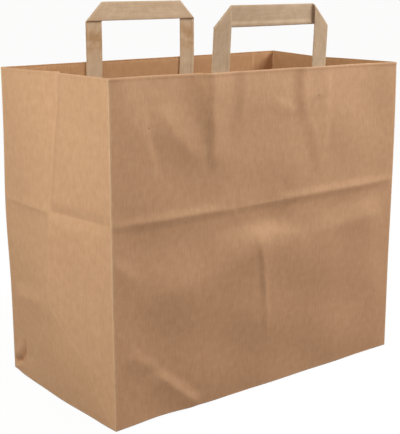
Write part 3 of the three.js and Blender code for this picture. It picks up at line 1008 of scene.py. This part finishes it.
def handle_tape(colours):
    """Kraft tape folded from a greyer recycled stock and pressed flat.

    It is matt, with long streaks and soft blotches along its length. On the back handle's legs it turns a
    brown that is partly glue stain and partly painted shade.
    """
    material = bpy.data.materials.new("folded_kraft_tape")
    tree = bare_tree(material)
    paper = add(tree, "ShaderNodeUVMap", {"uv_map": "paper"})
    blotches = add(
        tree, "ShaderNodeTexNoise", {}, {"Vector": paper, "Scale": per(9), "Detail": 3, "Roughness": 0.6}
    )
    spread = add(tree, "ShaderNodeMapRange", {}, {"Value": blotches, "From Min": 0.25, "From Max": 0.75})
    sheet = add(
        tree, "ShaderNodeMix", {"data_type": "RGBA"},
        {"Factor_Float": spread, "A_Color": colours.tape_shade, "B_Color": colours.tape_light},
    )
    # streaks drawn as coarse as the render can show
    stretched = add(tree, "ShaderNodeMapping", {}, {"Vector": paper, "Scale": (per(1.8), per(26), 1)})
    fibres = add(tree, "ShaderNodeTexNoise", {}, {"Vector": stretched, "Scale": 1, "Detail": 3})
    streaked = add(
        tree, "ShaderNodeMix", {"data_type": "RGBA", "blend_type": "OVERLAY"},
        {"Factor_Float": 0.16, "A_Color": sheet, "B_Color": fibres},
    )
    # painted shade: blotches of brown on the back handle's legs, partly glue stain and partly the shade that
    # falls there
    shade_and_stain_mask = add(tree, "ShaderNodeAttribute", {"attribute_name": "fold_wear"})
    patchy = add(tree, "ShaderNodeMapRange", {}, {"Value": blotches, "From Min": 0.35, "From Max": 0.6})
    glued = add(
        tree, "ShaderNodeMath", {"operation": "MULTIPLY"}, {"Value": shade_and_stain_mask.outputs["Fac"], "Value_001": patchy}
    )
    stained_and_shaded = add(
        tree, "ShaderNodeMix", {"data_type": "RGBA"},
        {"Factor_Float": glued, "A_Color": streaked, "B_Color": colours.tape_stain},
    )
    bump = add(tree, "ShaderNodeBump", {}, {"Height": fibres, "Strength": 0.3, "Distance": 0.2 * MM})
    surface = add(
        tree, "ShaderNodeBsdfPrincipled", {},
        {"Base Color": stained_and_shaded, "Roughness": 0.82, "Specular IOR Level": 0.28, "IOR": 1.5, "Normal": bump},
    )
    add(tree, "ShaderNodeOutputMaterial", {}, {"Surface": surface})
    return material


def seen_ray(tree):
    """1 for a ray that shows the background: straight from the camera, or in a gloss or through glass."""
    path = add(tree, "ShaderNodeLightPath")
    gloss = add(
        tree, "ShaderNodeMath", {"operation": "MAXIMUM"},
        {"Value": path.outputs["Is Camera Ray"], "Value_001": path.outputs["Is Glossy Ray"]},
    )
    return add(
        tree, "ShaderNodeMath", {"operation": "MAXIMUM"},
        {"Value": gloss, "Value_001": path.outputs["Is Transmission Ray"]},
    )


def floor_paper(colours):
    """Seamless studio paper: a pale matt floor that the camera sees as white with the bag's soft shadow."""
    material = bpy.data.materials.new("seamless_studio_paper")
    tree = bare_tree(material)
    seen = seen_ray(tree)
    tone = add(
        tree, "ShaderNodeMix", {"data_type": "RGBA"},
        {"Factor_Float": seen, "A_Color": colours.floor_bounce, "B_Color": colours.floor},
    )
    matt = add(tree, "ShaderNodeBsdfDiffuse", {}, {"Color": tone})
    white = add(tree, "ShaderNodeEmission", {}, {"Strength": 1})
    level = add(tree, "ShaderNodeMath", {"operation": "MULTIPLY"}, {"Value": seen, "Value_001": FLOOR_GLOW})
    surface = add(tree, "ShaderNodeMixShader", {}, {"Fac": level, "Shader": matt, "Shader_001": white})
    add(tree, "ShaderNodeOutputMaterial", {}, {"Surface": surface})
    return material


def studio_world(sky):
    """Even soft light of one level, warm on the bag and white where the camera sees it."""
    world = bpy.data.worlds.new("soft_studio")
    tree = bare_tree(world)
    seen = seen_ray(tree)
    level = add(tree, "ShaderNodeMapRange", {}, {"Value": seen, "To Min": sky, "To Max": 1})
    tone = add(
        tree, "ShaderNodeMix", {"data_type": "RGBA"},
        {"Factor_Float": seen, "A_Color": WARM_SKY, "B_Color": WHITE},
    )
    light = add(tree, "ShaderNodeBackground", {}, {"Color": tone, "Strength": level})
    add(tree, "ShaderNodeOutputWorld", {}, {"Surface": light})
    return world


def soft_light(name, lamp, watts):
    """A square area lamp of the given power, turned towards the middle of the bag."""
    light = bpy.data.lights.new(name, "AREA")
    light.shape, light.size, light.energy = "SQUARE", lamp.size, watts
    light.color = lamp.tint
    made = bpy.data.objects.new(name, light)
    made.location = lamp.place
    made.rotation_euler = (Vector(LAMP_AIM) - Vector(lamp.place)).to_track_quat("-Z", "Y").to_euler()
    bpy.context.scene.collection.objects.link(made)


def dress(made, node):
    """A finished piece rides the bag and hides the solid that it stands in for."""
    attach(made, "root")
    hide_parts(node)


class CARRIERBAG_OT_fold_sheet(bpy.types.Operator):
    """Fold the kraft sheet into the standing bag"""

    bl_idname = "carrier_bag.fold_sheet"
    bl_label = "Fold Sheet"

    def execute(self, context):
        settings = context.scene.carrier_bag
        bag = in_mm(settings.bag)
        colours = settings.colours
        outside = kraft_paper("machine_glazed_kraft", colours.kraft_shade, colours.kraft_light, colours)
        # the inner face: partly the rough side's darker tone, partly painted shade inside the bag
        inside = kraft_paper("rough_side_of_kraft", colours.inside_shade, colours.inside_light, colours)
        made = piece("kraft_bag_sheet", bag_grids(bag), (outside, inside), bag.paper)
        dress(made, "bag_body")
        return {"FINISHED"}


class CARRIERBAG_OT_add_handles(bpy.types.Operator):
    """Fold the two tape handles and set them inside the wide panels"""

    bl_idname = "carrier_bag.add_handles"
    bl_label = "Add Handles"

    def execute(self, context):
        settings = context.scene.carrier_bag
        bag, handle = in_mm(settings.bag), in_mm(settings.handle)
        tape = handle_tape(settings.colours)
        fits = handle_fits(handle)
        front = handle_grid(bag, handle, FRONT, fits[0])
        back = handle_grid(bag, handle, BACK, fits[1])
        dress(piece("front_tape_handle", [front], (tape,)), "front_handle")
        dress(piece("back_tape_handle", [back], (tape,)), "back_handle")
        return {"FINISHED"}


class CARRIERBAG_OT_add_patches(bpy.types.Operator):
    """Glue the paper patches over the feet of the handles"""

    bl_idname = "carrier_bag.add_patches"
    bl_label = "Add Patches"

    def execute(self, context):
        settings = context.scene.carrier_bag
        bag, handle = in_mm(settings.bag), in_mm(settings.handle)
        colours = settings.colours
        # the patches sit inside the bag and take the inner face's colours, with their painted shade
        kraft = kraft_paper("plain_kraft_patch", colours.inside_shade, colours.inside_light, colours)
        fits = handle_fits(handle)
        front = patch_grid(bag, handle, FRONT, fits[0])
        back = patch_grid(bag, handle, BACK, fits[1])
        dress(piece("front_foot_patch", [front], (kraft,), bag.paper), "front_handle_patch")
        dress(piece("back_foot_patch", [back], (kraft,), bag.paper), "back_handle_patch")
        return {"FINISHED"}


class CARRIERBAG_OT_set_stage(bpy.types.Operator):
    """Set up the floor, the soft studio light and the camera"""

    bl_idname = "carrier_bag.set_stage"
    bl_label = "Set Stage"

    def execute(self, context):
        scene = context.scene
        settings = scene.carrier_bag
        stage = settings.stage
        scene.view_settings.view_transform = "Standard"
        scene.world = studio_world(stage.sky)
        corner = FLOOR_REACH / MM
        x, y = np.meshgrid((-corner, corner), (-corner, corner))
        ground = plain_grid(np.stack((x, y, np.full_like(x, -FLOOR_DROP)), -1), np.stack((x, y), -1))
        piece("studio_floor", [ground], (floor_paper(settings.colours),))
        for name, lamp in LAMPS.items():
            soft_light(f"{name}_light", lamp, getattr(stage, name))
        camera = bpy.data.cameras.new("photo_camera")
        camera.lens, camera.sensor_width = stage.lens, SENSOR
        made = bpy.data.objects.new("photo_camera", camera)
        made.location = stage.camera
        made.rotation_euler = Vector(stage.view).to_track_quat("-Z", "Y").to_euler()
        scene.collection.objects.link(made)
        scene.camera = made
        return {"FINISHED"}


class CARRIERBAG_PT_sidebar(bpy.types.Panel):
    """Sizes, colours and steps of the bag"""

    bl_idname = "CARRIERBAG_PT_sidebar"
    bl_label = "Carrier Bag"
    bl_space_type = "VIEW_3D"
    bl_region_type = "UI"
    bl_category = "Carrier Bag"

    def draw(self, context):
        settings = context.scene.carrier_bag
        for step in STEPS:
            self.layout.operator(step.bl_idname)
        for group in (settings.bag, settings.handle, settings.colours, settings.stage):
            box = self.layout.box()
            for name in group.__annotations__:
                box.prop(group, name)


STEPS = (
    CARRIERBAG_OT_fold_sheet,
    CARRIERBAG_OT_add_handles,
    CARRIERBAG_OT_add_patches,
    CARRIERBAG_OT_set_stage,
)
CLASSES = (BagSizes, HandleSizes, PaperColours, StageSettings, CarrierBag, *STEPS, CARRIERBAG_PT_sidebar)


def register():
    for each in CLASSES:
        bpy.utils.register_class(each)
    bpy.types.Scene.carrier_bag = bpy.props.PointerProperty(type=CarrierBag)


def unregister():
    del bpy.types.Scene.carrier_bag
    for each in reversed(CLASSES):
        bpy.utils.unregister_class(each)


def main():
    register()
    bpy.ops.carrier_bag.fold_sheet()
    bpy.ops.carrier_bag.add_handles()
    bpy.ops.carrier_bag.add_patches()
    bpy.ops.carrier_bag.set_stage()


if __name__ == "__main__":
    main()
